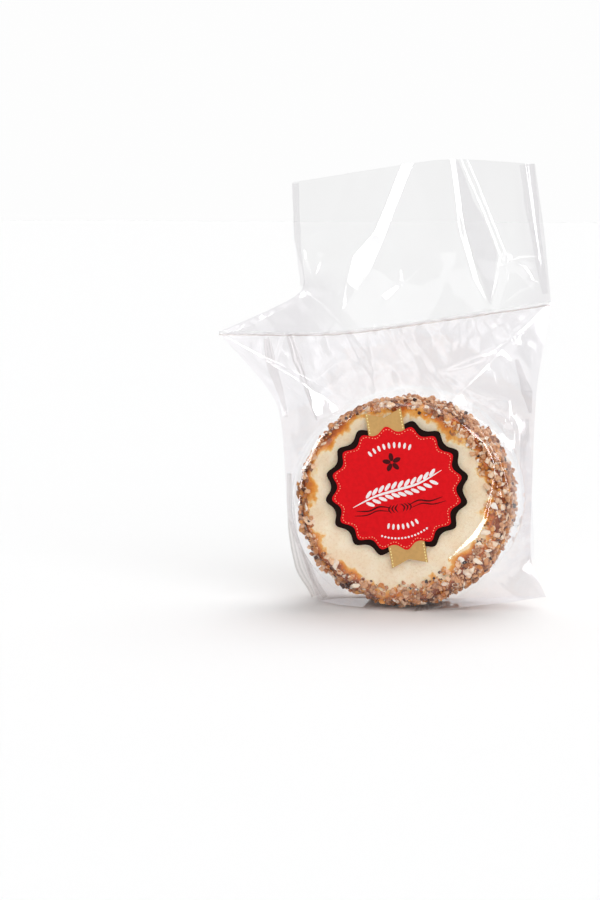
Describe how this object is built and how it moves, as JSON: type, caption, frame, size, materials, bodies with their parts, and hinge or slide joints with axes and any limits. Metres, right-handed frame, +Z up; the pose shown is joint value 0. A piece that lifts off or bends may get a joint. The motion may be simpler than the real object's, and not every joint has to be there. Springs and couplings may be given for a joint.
{
  "type": "alfajor cookie in a clear bag",
  "caption": "Round filled sandwich biscuit with a crumb-coated rim, standing on edge in a clear heat-sealed film bag with a round scalloped paper label.",
  "frame": {"origin": "on the surface the bag stands on, under the middle of the biscuit", "axes": "+Z up, the label faces -Y, +X to the right as seen from the label's side"},
  "size_m": [0.12, 0.0391, 0.1582],
  "materials": {
    "film": "clear, glossy, creased",
    "label_paper": "satin print"
  },
  "bodies": {
    "root": {"bag": "film", "label": "label_paper"}
  },
  "joints": []
}
